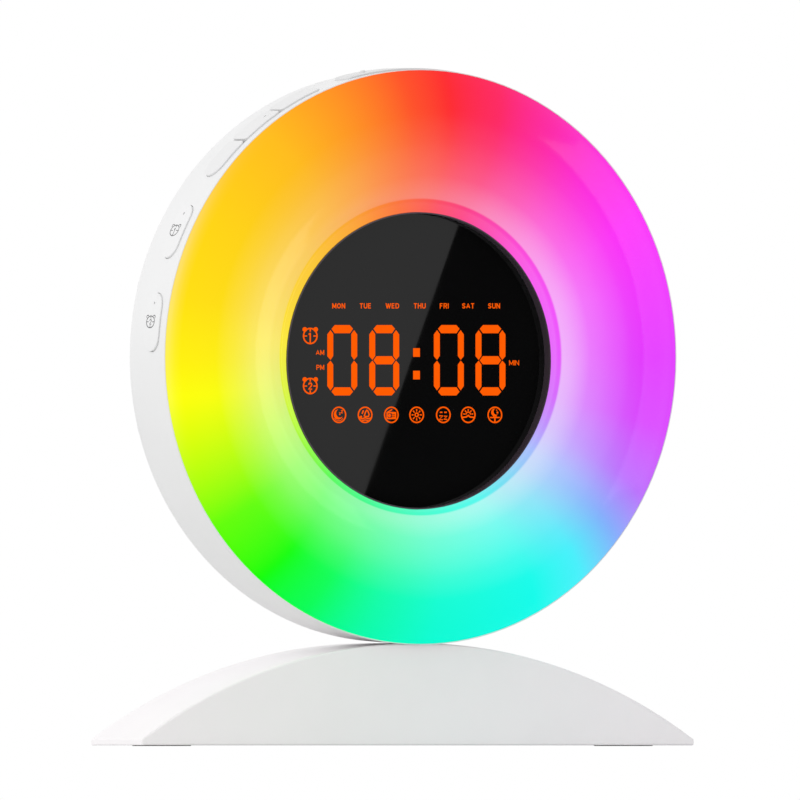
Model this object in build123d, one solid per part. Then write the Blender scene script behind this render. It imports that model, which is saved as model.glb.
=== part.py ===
from build123d import *

import os
from math import cos, radians, sin, sqrt

# Sunrise alarm clock: a round lamp, with a glowing colour ring and a display, on an arched base.
#
# Millimetres, +Z up, the front faces -Y, and the origin is on the table under the middle of the
# whole clock. The base is drawn straight in that frame. Everything in the lamp is drawn in the
# lamp's own space: its axis is Z, its front is up, X is to the right and Y is up as seen from the
# front, 0 is the plane of its rim, and depths are measured backwards from there. Angles run
# anticlockwise from the right, as seen from the front.

# ---- Driving dimensions ------------------------------------------------------------------------

# Fits
seat_gap = 0.1             # beside a piece that drops into a seat
screw_play = 0.15          # beside a screw in its own hole
overlap = 0.5              # how far a boss runs into the wall that carries it

# Lamp housing
lamp_radius = 85.4         # outside of the side wall at the rim
wall_draft = 1.2           # how much the side wall closes in by the back
housing_depth = 30.3       # rim plane to the flat of the back
shoulder_radius = 8.0      # rounding between the side wall and the back
inner_shoulder_radius = 5.0
rim_wall = 2.6
back_wall = 4.0
rim_lip = 0.25             # thin edge that shows round the diffuser
rib_count = 12
rib_thickness = 1.6
rib_inner_radius = 72.0
rib_front_depth = 19.5
ledge_radius = 62.0        # opening in the back, inside the ledge for the back cover

# Back cover
cover_radius = 73.6
cover_dome = 4.7           # how far its middle stands out behind the housing
cover_wall = 2.0
cover_edge = 2.0           # thickness at its edge
cover_screw_count = 6
cover_screw_circle = 67.8
cover_boss_radius = 3.2
cover_boss_length = 6.5

# Diffuser ring
diffuser_seat_depth = 1.6
diffuser_bulge = 8.0
diffuser_wall = 2.0
diffuser_slope = 1.35      # width of the bevel at its inner edge
diffuser_step_depth = 1.2  # front of the flat shelf round the display
shelf_margin = 1.5         # radius of the shelf beyond the display's
collar_depth = 5.0
collar_wall = 1.7
skirt_depth = 3.1
skirt_wall = 1.7

# Display
display_drop = 1.1         # the display sits this much below the lamp's centre
bezel_wall = 0.4
bezel_front_depth = 1.0
face_recess = 3.4
window_thickness = 2.0
bezel_ledge_width = 4.6    # from the opening behind the window to the outside of the bezel
bezel_floor = 1.7
light_box_width = 66.0
light_box_height = 40.0
light_box_gap = 0.3        # behind the window
light_box_play = 0.9       # round its corners, in the opening behind the window
digit_height = 20.9
digit_width = 10.3
digit_stroke = 2.4
shaft_wall = 0.4           # between a digit's light shafts
digit_places = (-23.7, -9.9, 11.7, 25.6)
colon_heights = (2.3, -4.4)     # above the middle of the digits
display_board_margin = 7.0 # beyond the light box, on every side
display_screw_beside = 4.5 # from the side of the light box
display_screw_above = 1.5  # from its top and bottom
board_thickness = 1.6

# Reflector tray and colour LEDs
tray_wall = 1.5
tray_wall_radius = 70.5    # inside of the outer wall
tray_floor_depth = 14.0
tray_flange_front = 3.0
tray_post_angles = (72.5, 107.5, 200.0, 340.0)
tray_post_circle = 77.6
tray_post_radius = 2.4
led_board_gap = 1.6        # round the tray's hub
led_board_play = 1.0       # inside the tray's outer wall
led_count = 24
led_size = 5.0
led_height = 1.6
led_lens_radius = 2.0
led_lens_sink = 0.4

# Rim buttons
button_depth = 8.7         # middle of each button, behind the rim plane
button_width = 9.2
button_raise = 0.7         # above the side wall
button_travel = 0.6
button_play = 0.15         # beside the button in its slot
button_edge = 0.15         # rounding of the cap's top edge
cap_corner = 1.4
wing_overlap = 0.7         # the two wings that keep the button from falling out
wing_share = 0.6           # of the button's length
wing_thickness = 1.0
wing_gap = 0.1
stem_radius = 1.6
pilot_radius = 0.45        # small light hole in some of the caps
pilot_from_end = 3.0
nub_angle = 99.9           # small raised point on the snooze bar
nub_radius = 0.8
nub_raise = 0.6
nub_rounding = 0.35
group_pitch = 10.0         # degrees between the three adjoining buttons of a group
single_length = 17.4
group_length = 14.1
snooze_length = 44.2
single_low_angle = 7.0     # above the horizontal, on both sides
single_high_angle = 26.0
group_middle_angle = 53.8

# Switches behind the rim buttons
strip_radius = 74.4        # outside of the flexible board
strip_thickness = 0.8
strip_front_depth = 5.0
strip_end_angle = 2.0      # beyond the horizontal, at each end
switch_size = 6.0
switch_height = 3.1
switch_seat = 0.07         # under the flat switch on the curved board
plunger_radius = 1.7
plunger_height = 0.8
stem_clearance = 0.1       # between stem and plunger with the button fully pressed

# Main board
main_board_front = 21.0
main_board_radius = 57.0
main_board_half_width = 52.0
main_board_top = 55.0
main_board_bottom = -35.0
board_posts = ((-40.0, 32.0), (40.0, 32.0), (-44.0, 0.0), (44.0, 0.0))
board_post_radius = 2.8
component_blocks = (       # width, height, depth, X and Y of each chip, coil and connector
    (12.0, 12.0, 1.6, 8.0, 24.0),
    (14.0, 10.0, 2.2, -14.0, 30.0),
    (8.0, 8.0, 4.0, 26.0, 12.0),
    (12.0, 5.0, 6.0, -22.0, 8.0),
    (10.0, 5.0, 6.0, 0.0, -4.0),
)
component_cans = (         # radius, depth, X and Y of each capacitor
    (3.2, 7.0, 26.0, 26.0),
    (3.2, 7.0, 18.0, 36.0),
)

# Speaker
speaker_y = -38.0
speaker_radius = 20.0
speaker_depth = 10.5
speaker_seat_depth = 28.5
speaker_seat_wall = 2.5
gasket_thickness = 1.0
basket_wall = 0.8
basket_rim = 1.6           # straight part of the frame below its flange
magnet_radius = 11.0
magnet_height = 3.0
cone_wall = 0.8
dust_cap_radius = 5.5
dust_cap_rise = 1.2
grille_radius = 16.0
grille_slot = 1.8
grille_pitch = 3.6
grille_rows = 4            # above and below the middle slot

# Power inlet
inlet_x = 38.0
inlet_y = -22.0
inlet_boss_radius = 8.0
inlet_pocket_radius = 6.5
inlet_floor_depth = 31.2
inlet_floor = 2.0
jack_nose_radius = 4.0
jack_body_size = 9.4
jack_body_gap = 0.1
jack_bore_radius = 3.0
jack_bore_depth = 8.0
jack_pin_radius = 1.0
jack_pin_recess = 0.6

# Coin cell and its compartment
well_x = -38.0
well_y = -22.0
well_width = 24.0
well_height = 26.0
well_floor_depth = 26.5
well_wall = 1.5
door_ledge = 1.0
door_corner = 2.0
door_play = 0.15
grip_length = 10.0
grip_width = 1.2
grip_pitch = 2.4
grip_sink = 0.5
cell_radius = 10.0
cell_thickness = 3.2
contact_thickness = 0.4
contact_width = 5.0
contact_length = 16.0

# Aerial grommet
aerial_y = 46.0
grommet_bore = 0.9
grommet_neck_radius = 2.1
grommet_flange_radius = 4.0
grommet_flange = 1.0
grommet_play = 0.1

# Base
base_width = 184.4
base_depth = 33.0
base_setback = 1.6         # front of the base behind the lamp's rim plane
base_height = 30.5         # top of the arch before the saddle is cut
nose_height = 2.0          # top of the two thin ends
nose_radius = 0.4
base_edge = 0.6            # rounding of the front and back edges
base_wall = 2.2
saddle_sink = 0.5          # how deep the lamp sits in the arch
plate_width = 170.0
plate_margin = 1.6         # wall in front of the bottom plate and behind it
plate_thickness = 2.0
plate_corner = 3.0
plate_ledge = 1.6
hollow_half_length = 80.0
foot_radius = 4.6
foot_stand = 0.2           # below the bottom plate
foot_sink = 1.0            # into the bottom plate
foot_x = 77.0
foot_y = 9.0
plate_screw_x = 60.0
plate_screw_y = 9.0
plate_boss_radius = 3.0
weight_depth = 24.0
weight_height = 10.0
weight_post_gap = 6.0      # between a weight and the post under the lamp
weight_boss_gap = 1.0      # between a weight and the bosses of the bottom plate
weight_corner = 2.0

# Joint between the base and the lamp
stem_half_width = 8.0
stem_screw_depths = (8.0, 17.0)
stem_screw_length = 14.0
stem_screw_engaged = 8.0
stem_well_radius = 3.3
pad_height = 7.8
pad_front_depth = 5.0
post_depth = 20.0

# Screws
small_screw_radius = 1.25
small_head_radius = 2.3
small_head_height = 1.3
small_screw_length = 7.0
stem_screw_radius = 1.5
stem_head_radius = 2.8
stem_head_height = 2.4
head_chamfer_share = 0.33  # of the head's height
drive_share = 0.6          # of the head's radius
drive_width = 0.6
drive_depth = 0.6

# ---- What follows from them --------------------------------------------------------------------

bore_radius = lamp_radius - rim_wall
diffuser_radius = lamp_radius - rim_lip - seat_gap
bezel_ledge_radius = sqrt(light_box_width ** 2 + light_box_height ** 2) / 2 + light_box_play
bezel_radius = bezel_ledge_radius + bezel_ledge_width
diffuser_step_radius = bezel_radius + shelf_margin
diffuser_inner_radius = diffuser_step_radius + diffuser_slope
cover_land_depth = housing_depth - cover_edge
ledge_front_depth = housing_depth - back_wall
lamp_depth = housing_depth + cover_dome
dome_radius = (cover_radius ** 2 + cover_dome ** 2) / (2 * cover_dome)

button_top_radius = lamp_radius - wall_draft * button_depth / housing_depth + button_raise
wing_top_radius = bore_radius - wing_gap
cap_bottom_radius = wing_top_radius - wing_thickness
switch_base_radius = strip_radius + switch_seat
plunger_top_radius = switch_base_radius + switch_height + plunger_height
stem_end_radius = plunger_top_radius + button_travel + stem_clearance

face_depth = bezel_front_depth + face_recess
window_back_depth = face_depth + window_thickness
bezel_back_depth = window_back_depth + bezel_floor
tray_back_depth = tray_floor_depth + tray_wall
tray_flange_back = tray_flange_front + tray_wall
hub_outer_radius = diffuser_step_radius + collar_wall + seat_gap
hub_inner_radius = hub_outer_radius - tray_wall
led_board_front = tray_floor_depth - board_thickness
led_board_inner = hub_outer_radius + led_board_gap
led_board_outer = tray_wall_radius - led_board_play
led_circle = (led_board_inner + led_board_outer) / 2
display_board_back = tray_back_depth + board_thickness
display_screw_x = light_box_width / 2 + display_screw_beside
display_screw_y = light_box_height / 2 + display_screw_above
main_board_back = main_board_front + board_thickness
speaker_flange_depth = speaker_seat_depth - gasket_thickness

base_rise = base_height - nose_height
arch_radius = ((base_width / 2) ** 2 + base_rise ** 2) / (2 * base_rise)
plate_top = foot_stand + plate_thickness
plate_depth = base_depth - 2 * plate_margin
weight_inner_x = stem_half_width + weight_post_gap
weight_length = plate_screw_x - plate_boss_radius - weight_boss_gap - weight_inner_x
lamp_z = base_height - saddle_sink + lamp_radius
clock_back_depth = max(lamp_depth, base_setback + base_depth)
rim_y = (diffuser_bulge - clock_back_depth) / 2
base_front_y = rim_y + base_setback
base_middle_y = base_front_y + base_depth / 2

lamp_place = Plane(origin=(0, rim_y, lamp_z), x_dir=(1, 0, 0), z_dir=(0, -1, 0))

# Every button: its angle round the rim, its length, which of its ends are half round (-1 is the
# end that comes first when going anticlockwise, 1 the other), and where its light hole is, if any.
left_group = 180 - group_middle_angle
top_angle = (group_middle_angle + left_group) / 2
buttons = {
    "sleep_button": (single_low_angle, single_length, (-1, 1), 0),
    "radio_button": (single_high_angle, single_length, (-1, 1), 0),
    "volume_down_button": (group_middle_angle - group_pitch, group_length, (-1,), 0),
    "sound_button": (group_middle_angle, group_length, (), 0),
    "volume_up_button": (group_middle_angle + group_pitch, group_length, (), 0),
    "snooze_button": (top_angle, snooze_length, (), 0),
    "brighter_button": (left_group - group_pitch, group_length, (), 0),
    "light_button": (left_group, group_length, (), -1),
    "dimmer_button": (left_group + group_pitch, group_length, (1,), 0),
    "alarm_1_button": (180 - single_high_angle, single_length, (-1, 1), -1),
    "alarm_2_button": (180 - single_low_angle, single_length, (-1, 1), -1),
}


# ---- Shapes used again and again ---------------------------------------------------------------

def ring(outer, inner, front, back):
    """Flat-ended tube about the lamp's axis, between two depths."""
    return Pos(0, 0, -back) * extrude(Circle(outer) - Circle(inner), amount=back - front)


def disc(radius, front, back):
    """Cylinder about the lamp's axis, between two depths."""
    return Pos(0, 0, -back) * extrude(Circle(radius), amount=back - front)


def prism(outline, front, back):
    """An outline seen from the front, between two depths."""
    return Pos(0, 0, -back) * extrude(outline, amount=back - front)


def turned(section):
    """A section of (radius, height) revolved about the lamp's axis."""
    return revolve(Plane.XZ * section, Axis.Z, 360)


def section_of(*points):
    """Section with straight sides, from points of radius and depth."""
    return make_face(Polyline(*[(radius, -depth) for radius, depth in points], close=True))


def dome_height(radius, inset=0.0):
    """Height in the lamp's space of the back cover's dome, or of the surface inset from it."""
    centre = dome_radius - lamp_depth
    return centre - sqrt((dome_radius - inset) ** 2 - radius ** 2)


def dome_arc(radius, inset=0.0):
    """Section line of the dome, from the lamp's axis out to a radius."""
    points = [(share * radius, dome_height(share * radius, inset)) for share in (0, 0.5, 1)]
    return ThreePointArc(*points)


def behind_dome(inset, front_depth, radius=cover_radius):
    """Everything between a depth and the dome, or the surface inset from it."""
    arc = dome_arc(radius, inset)
    rim = (radius, -front_depth)
    rest = Polyline(arc @ 1, rim, (0, -front_depth), arc @ 0)
    return turned(make_face([arc, rest]))


def rim_plane(angle, radius):
    """Plane that faces outwards at an angle round the rim; its X runs anticlockwise."""
    east = cos(radians(angle))
    north = sin(radians(angle))
    centre = (radius * east, radius * north, -button_depth)
    return Plane(origin=centre, x_dir=(-north, east, 0), z_dir=(east, north, 0))


def around(count, radius):
    """Places spread evenly on a circle about the lamp's axis, the first one to the right."""
    return PolarLocations(radius, count)


def screw(radius, length, head_radius, head_height):
    """Pan-head screw with a cross drive, its shank down from 0 and its head up from 0."""
    shank = Pos(0, 0, -length) * extrude(Circle(radius), amount=length)
    head = extrude(Circle(head_radius), amount=head_height)
    head = chamfer(head.edges().group_by(Axis.Z)[-1], head_chamfer_share * head_height)
    drive_length = 2 * drive_share * head_radius
    drive = Rectangle(drive_length, drive_width) + Rectangle(drive_width, drive_length)
    slot = Pos(0, 0, head_height - drive_depth) * extrude(drive, amount=head_height)
    return shank + head - slot


def small_screw():
    """Self-tapping screw that holds the covers and the boards."""
    return screw(small_screw_radius, small_screw_length, small_head_radius, small_head_height)


# ---- Lamp housing and covers -------------------------------------------------------------------

def housing_form(grow=0.0):
    """Outside of the housing as a closed body, grown all over for the saddle."""
    outline = section_of(
        (0, -grow),
        (lamp_radius + grow, -grow),
        (lamp_radius - wall_draft + grow, housing_depth + grow),
        (0, housing_depth + grow),
    )
    corner = outline.vertices().sort_by(Axis.X)[-2:].sort_by(Axis.Y)[0]
    return turned(fillet(corner, shoulder_radius))


def housing_hollow():
    """Inside of the housing in front of its back wall."""
    outline = section_of((0, 0), (bore_radius, 0), (bore_radius, ledge_front_depth), (0, ledge_front_depth))
    corner = outline.vertices().sort_by(Axis.X)[-2:].sort_by(Axis.Y)[0]
    return turned(fillet(corner, inner_shoulder_radius))


def housing_ribs():
    """Upright ribs between the side wall and the back, which also carry the switch strip."""
    reach = bore_radius + overlap - rib_inner_radius
    rib = Rectangle(reach, rib_thickness)
    first = 180 / rib_count
    places = PolarLocations((bore_radius + overlap + rib_inner_radius) / 2, rib_count, start_angle=first)
    ribs = [place * rib for place in places]
    return prism(Sketch() + ribs, rib_front_depth, ledge_front_depth + overlap)


def tray_post_places():
    """Places of the posts that carry the reflector tray."""
    return [
        Pos(tray_post_circle * cos(radians(angle)), tray_post_circle * sin(radians(angle)))
        for angle in tray_post_angles
    ]


def stem_pad():
    """Block inside the bottom of the housing that the stem screws bite into."""
    top = -(bore_radius - pad_height)
    bottom = -(bore_radius + overlap)
    outline = Pos(0, (top + bottom) / 2) * Rectangle(2 * stem_half_width, top - bottom)
    return prism(outline, pad_front_depth, rib_front_depth) & disc(bore_radius + overlap, 0, housing_depth)


def stem_hole(depth, radius, top_z, bottom_z):
    """Upright hole or shank of the joint under the lamp, at a depth behind the rim plane."""
    return Pos(0, rim_y + depth, bottom_z) * extrude(Circle(radius), amount=top_z - bottom_z)


def stem_holes_in_lamp():
    """The holes for the stem screws, in the lamp's own space."""
    bottom_z = lamp_z - lamp_radius
    top_z = bottom_z + stem_screw_engaged + 1
    holes = [
        stem_hole(depth, stem_screw_radius + screw_play, top_z, bottom_z - 1) for depth in stem_screw_depths
    ]
    return [lamp_place.location.inverse() * hole for hole in holes]


def slot_cutter(angle, length, round_ends):
    """Slot through the side wall that a rim button moves in."""
    seat = rim_plane(angle, stem_end_radius)
    outline = cap_outline(length, round_ends, button_play)
    return extrude(seat * outline, amount=button_top_radius + 1 - stem_end_radius)


def group_cutter(middle):
    """Opens the slots of three adjoining buttons into one long window."""
    half = button_width / 2 + button_play
    section = section_of(
        (cap_bottom_radius, button_depth - half),
        (button_top_radius + 1, button_depth - half),
        (button_top_radius + 1, button_depth + half),
        (cap_bottom_radius, button_depth + half),
    )
    band = revolve(Plane.XZ * section, Axis.Z, 2 * group_pitch)
    return Rot(0, 0, middle - group_pitch) * band


def lamp_housing():
    """White side wall and back of the lamp, with slots for the buttons and ribs inside."""
    body = housing_form() - housing_hollow()
    body -= disc(cover_radius + seat_gap, cover_land_depth, housing_depth + 1)
    body -= disc(ledge_radius, 0, housing_depth + 1)
    body -= disc(diffuser_radius + seat_gap, -1, diffuser_seat_depth)
    posts = [place * disc(tray_post_radius, tray_flange_back, ledge_front_depth + overlap)
             for place in tray_post_places()]
    boss = disc(cover_boss_radius, ledge_front_depth - cover_boss_length, ledge_front_depth + overlap)
    bosses = [place * boss for place in around(cover_screw_count, cover_screw_circle)]
    body += [housing_ribs(), stem_pad(), *posts, *bosses]
    hole = small_screw_radius + screw_play
    body -= [place * disc(hole, tray_flange_back - 1, tray_flange_back + small_screw_length)
             for place in tray_post_places()]
    body -= [place * disc(hole, ledge_front_depth - cover_boss_length + 1, housing_depth)
             for place in around(cover_screw_count, cover_screw_circle)]
    body -= stem_holes_in_lamp()
    body -= [slot_cutter(angle, length, ends) for angle, length, ends, pilot in buttons.values()]
    body -= [group_cutter(group_middle_angle), group_cutter(left_group)]
    return body


def diffuser_ring():
    """Milky colour ring, a hollow half-round with a collar round the display."""
    outer_middle = (diffuser_radius + diffuser_inner_radius) / 2
    skirt_inner = bore_radius - seat_gap - skirt_wall
    collar_outer = diffuser_step_radius + collar_wall
    inner_middle = (skirt_inner + collar_outer + collar_wall) / 2
    shelf_inner = bezel_radius - display_drop - 2 * collar_wall
    outside = ThreePointArc(
        (diffuser_radius, 0), (outer_middle, diffuser_bulge), (diffuser_inner_radius, 0)
    )
    collar = Polyline(
        (diffuser_inner_radius, 0),
        (diffuser_step_radius, -diffuser_step_depth),
        (shelf_inner, -diffuser_step_depth),
        (shelf_inner, -collar_depth),
        (collar_outer, -collar_depth),
        (collar_outer + collar_wall, 0),
    )
    inside = ThreePointArc(
        (collar_outer + collar_wall, 0), (inner_middle, diffuser_bulge - diffuser_wall), (skirt_inner, 0)
    )
    skirt = Polyline(
        (skirt_inner, 0),
        (skirt_inner, -skirt_depth),
        (bore_radius - seat_gap, -skirt_depth),
        (bore_radius - seat_gap, -diffuser_seat_depth),
        (diffuser_radius, -diffuser_seat_depth),
        (diffuser_radius, 0),
    )
    shell = turned(make_face([outside, collar, inside, skirt]))
    opening = Pos(0, -display_drop) * disc(bezel_radius + seat_gap, 0, collar_depth + 1)
    return shell - opening


def reflector_tray():
    """White tray that holds the colour LEDs and, in its hub, the display."""
    outer_wall = tray_wall_radius + tray_wall
    flange_radius = bore_radius - seat_gap - skirt_wall - seat_gap
    tray = ring(outer_wall, tray_wall_radius, tray_flange_front, tray_back_depth)
    tray += ring(flange_radius, tray_wall_radius, tray_flange_front, tray_flange_back)
    opening = bezel_ledge_radius + display_drop
    tray += ring(outer_wall, opening, tray_floor_depth, tray_back_depth)
    tray += ring(hub_outer_radius, hub_inner_radius, collar_depth, tray_back_depth)
    tray += ring(hub_outer_radius, opening, bezel_back_depth, bezel_back_depth + tray_wall)
    hole = small_screw_radius + screw_play
    tray -= [place * disc(hole, 0, tray_back_depth) for place in tray_post_places()]
    tray -= [Pos(x, y) * disc(hole, tray_floor_depth - 1, tray_back_depth + 1)
             for x, y in display_screw_places()]
    return tray


def cover_pocket(x, y, boss_radius, pocket_radius, floor_depth, floor):
    """Boss behind the dome, and the flat-bottomed pocket sunk into it from outside."""
    boss = Pos(x, y) * disc(boss_radius, floor_depth - floor, lamp_depth)
    pocket = Pos(x, y) * disc(pocket_radius, floor_depth, lamp_depth + 1)
    return boss, pocket


def well_outline(grow):
    """Outline of the coin cell's compartment, grown all round."""
    return Pos(well_x, well_y) * RectangleRounded(
        well_width + 2 * grow, well_height + 2 * grow, door_corner + max(grow, 0)
    )


def grille_cutter():
    """Rows of slots in front of the speaker, cut to a round field."""
    slots = []
    for row in range(-grille_rows, grille_rows + 1):
        offset = row * grille_pitch
        length = 2 * sqrt(grille_radius ** 2 - offset ** 2)
        slots.append(Pos(0, speaker_y + offset) * SlotOverall(length, grille_slot))
    return prism(Sketch() + slots, speaker_seat_depth, lamp_depth + 1)


def back_cover():
    """Domed cover with the speaker grille, the power inlet and the coin cell's compartment."""
    form = behind_dome(0, cover_land_depth)
    cover = form - behind_dome(cover_wall, cover_land_depth - 1, ledge_radius - seat_gap)
    seat = Pos(0, speaker_y) * ring(
        speaker_radius + seat_gap, speaker_radius - speaker_seat_wall, speaker_seat_depth, lamp_depth
    )
    inlet_boss, inlet_pocket = cover_pocket(
        inlet_x, inlet_y, inlet_boss_radius, inlet_pocket_radius, inlet_floor_depth, inlet_floor
    )
    aerial_boss, aerial_pocket = cover_pocket(
        0, aerial_y, grommet_flange_radius + cover_wall, grommet_flange_radius + seat_gap,
        aerial_floor_depth(), cover_wall
    )
    well = prism(well_outline(well_wall), well_floor_depth - well_wall, lamp_depth)
    posts = [Pos(x, y) * disc(board_post_radius, main_board_back, lamp_depth) for x, y in board_posts]
    inside = behind_dome(0, main_board_front)
    cover += [piece & inside for piece in (seat, inlet_boss, aerial_boss, well, *posts)]
    cover -= [inlet_pocket, aerial_pocket, grille_cutter()]
    cover -= Pos(inlet_x, inlet_y) * disc(jack_nose_radius + seat_gap, 0, lamp_depth)
    cover -= Pos(0, aerial_y) * disc(grommet_neck_radius + grommet_play, 0, lamp_depth)
    cover -= prism(well_outline(0), well_floor_depth, lamp_depth + 1)
    cover -= prism(well_outline(door_ledge + door_play), 0, lamp_depth + 1) & dome_layer(-1, cover_wall)
    hole = small_screw_radius + screw_play
    head_well = small_head_radius + screw_play
    for place in around(cover_screw_count, cover_screw_circle):
        cover -= place * disc(hole, 0, lamp_depth)
        cover -= place * disc(head_well, cover_land_depth + small_head_height, lamp_depth)
    cover -= [Pos(x, y) * disc(hole, 0, main_board_back + small_screw_length) for x, y in board_posts]
    return cover


def aerial_floor_depth():
    """Depth of the flat that the aerial grommet's flange lies on."""
    return -dome_height(aerial_y) - grommet_flange


def dome_layer(outer_inset, inner_inset):
    """The layer between two surfaces inset from the dome."""
    return behind_dome(outer_inset, 0) - behind_dome(inner_inset, -1)


def battery_door():
    """Door over the coin cell, flush with the dome, with ridged finger grips."""
    door = prism(well_outline(door_ledge), 0, lamp_depth + 1) & dome_layer(0, cover_wall)
    grips_y = well_y - well_height / 3
    for row in (-1, 0, 1):
        grip = Pos(well_x, grips_y + row * grip_pitch) * SlotOverall(grip_length, grip_width)
        door -= prism(grip, 0, lamp_depth + 1) & dome_layer(-1, grip_sink)
    return door


# ---- Display -----------------------------------------------------------------------------------

def display_screw_places():
    """Centres of the screws that hold the display board."""
    return [
        (x, y - display_drop)
        for x in (-display_screw_x, display_screw_x)
        for y in (-display_screw_y, display_screw_y)
    ]


def display_bezel():
    """Dark cup round the display, with a thin front edge."""
    cup = turned(section_of(
        (bezel_radius, bezel_front_depth),
        (bezel_radius, bezel_back_depth),
        (bezel_ledge_radius, bezel_back_depth),
        (bezel_ledge_radius, window_back_depth),
        (bezel_radius - bezel_wall, window_back_depth),
        (bezel_radius - bezel_wall, bezel_front_depth),
    ))
    return Pos(0, -display_drop) * cup


def display_window():
    """Tinted window that lies on the bezel's ledge."""
    return Pos(0, -display_drop) * disc(bezel_radius - bezel_wall - seat_gap, face_depth, window_back_depth)


def segment_outlines():
    """The seven light shafts of one digit, centred on the digit."""
    across = digit_width - 2 * (digit_stroke + shaft_wall)
    upright = digit_height / 2 - 1.5 * digit_stroke
    flat = Rectangle(across, digit_stroke)
    tall = Rectangle(digit_stroke, upright)
    flats = [Pos(0, side * (digit_height - digit_stroke) / 2) * flat for side in (-1, 0, 1)]
    talls = [
        Pos(x * (digit_width - digit_stroke) / 2, y * (upright + digit_stroke) / 2) * tall
        for x in (-1, 1)
        for y in (-1, 1)
    ]
    return Sketch() + flats + talls


def digit_light_box():
    """White block behind the window, with a shaft for each segment of the digits and the colon."""
    front = window_back_depth + light_box_gap
    box = prism(Rectangle(light_box_width, light_box_height), front, tray_back_depth)
    shafts = Sketch() + [Pos(x, 0) * segment_outlines() for x in digit_places]
    colon_x = (digit_places[1] + digit_places[2]) / 2
    dots = [Pos(colon_x, height) * Rectangle(digit_stroke, digit_stroke) for height in colon_heights]
    box -= prism(shafts + dots, front - 1, tray_back_depth - tray_wall)
    return Pos(0, -display_drop) * box


def display_board():
    """Circuit board behind the digits, screwed to the back of the tray."""
    width = light_box_width + 2 * display_board_margin
    height = light_box_height + 2 * display_board_margin
    outline = RectangleRounded(width, height, door_corner)
    board = Pos(0, -display_drop) * prism(outline, tray_back_depth, display_board_back)
    hole = disc(small_screw_radius + screw_play, 0, lamp_depth)
    return board - [Pos(x, y) * hole for x, y in display_screw_places()]


def screws_from_behind(places, seat_depth, length):
    """Small screws whose heads lie on a face that looks backwards."""
    fastener = screw(small_screw_radius, length, small_head_radius, small_head_height)
    return Part() + [Pos(x, y, -seat_depth) * Rot(180, 0, 0) * fastener for x, y in places]


def display_screws():
    """The screws of the display board."""
    return screws_from_behind(display_screw_places(), display_board_back, board_thickness + tray_wall)


# ---- Colour LEDs -------------------------------------------------------------------------------

def led_board():
    """Ring-shaped board on the floor of the tray."""
    return ring(led_board_outer, led_board_inner, led_board_front, tray_floor_depth)


def colour_leds():
    """Square colour LEDs round the board, facing the diffuser."""
    package = Rectangle(led_size, led_size)
    places = around(led_count, led_circle)
    leds = [place * package for place in places]
    lenses = [place * Circle(led_lens_radius) for place in places]
    front = led_board_front - led_height
    bodies = prism(Sketch() + leds, front, led_board_front)
    return bodies - prism(Sketch() + lenses, front, front + led_lens_sink)


def tray_screws():
    """The screws that hold the tray on its posts."""
    places = tray_post_places()
    return Part() + [place * Pos(0, 0, -tray_flange_front) * small_screw() for place in places]


# ---- Rim buttons and switches ------------------------------------------------------------------

def cap_outline(length, round_ends, grow=0.0):
    """Outline of a button, seen from outside; the ends named are half round, the others square."""
    long = length + 2 * grow
    wide = button_width + 2 * grow
    outline = RectangleRounded(long, wide, cap_corner)
    for end in round_ends:
        outline &= Pos(-end * long / 2) * SlotOverall(2 * long, wide)
    return outline


def rim_button(angle, length, round_ends, pilot):
    """Cap in the side wall, with two wings behind the wall and a stem down to its switch."""
    seat = rim_plane(angle, 0)
    cap = extrude(seat * cap_outline(length, round_ends), amount=button_top_radius + 1)
    cap &= ring(button_top_radius, cap_bottom_radius, 0, 2 * button_depth)
    cap = fillet(outer_edges(cap, seat, button_top_radius), button_edge)
    wings = Rectangle(wing_share * length, button_width + 2 * wing_overlap)
    wings = extrude(seat * wings, amount=button_top_radius)
    cap += wings & ring(wing_top_radius, cap_bottom_radius, 0, 2 * button_depth)
    stem_seat = rim_plane(angle, stem_end_radius)
    cap += extrude(stem_seat * Circle(stem_radius), amount=wing_top_radius - stem_end_radius)
    if pilot:
        hole = Pos(pilot * (length / 2 - pilot_from_end), 0) * Circle(pilot_radius)
        drill = rim_plane(angle, button_top_radius - button_raise)
        cap -= extrude(drill * hole, amount=2 * button_raise)
    return cap


def outer_edges(cap, seat, radius):
    """The edges round a cap's outer face."""
    def height(face):
        return (face.center() - seat.origin).dot(seat.z_dir)
    top = max(cap.faces(), key=height)
    return top.edges()


def snooze_button():
    """The long bar on top, with a small point to feel for."""
    bar = rim_button(*buttons["snooze_button"])
    seat = rim_plane(nub_angle, button_top_radius - nub_radius)
    nub = extrude(seat * Circle(nub_radius), amount=nub_radius + nub_raise)
    return bar + fillet(nub.edges().sort_by(seat_axis(seat))[-1:], nub_rounding)


def seat_axis(seat):
    """Axis along the outward direction of a plane on the rim."""
    return Axis(seat.origin, seat.z_dir)


def button_strip():
    """Flexible circuit board that stands on the housing's ribs, behind the buttons."""
    section = section_of(
        (strip_radius - strip_thickness, strip_front_depth),
        (strip_radius, strip_front_depth),
        (strip_radius, rib_front_depth),
        (strip_radius - strip_thickness, rib_front_depth),
    )
    span = 180 + 2 * strip_end_angle
    return Rot(0, 0, -strip_end_angle) * revolve(Plane.XZ * section, Axis.Z, span)


def tact_switches():
    """A push switch on the strip behind each button."""
    switches = []
    for angle, length, round_ends, pilot in buttons.values():
        seat = rim_plane(angle, switch_base_radius)
        body = extrude(seat * Rectangle(switch_size, switch_size), amount=switch_height)
        plunger = extrude(seat * Circle(plunger_radius), amount=switch_height + plunger_height)
        switches.append(body + plunger)
    return Part() + switches


# ---- Main board, speaker, inlet, cell ----------------------------------------------------------

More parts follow.
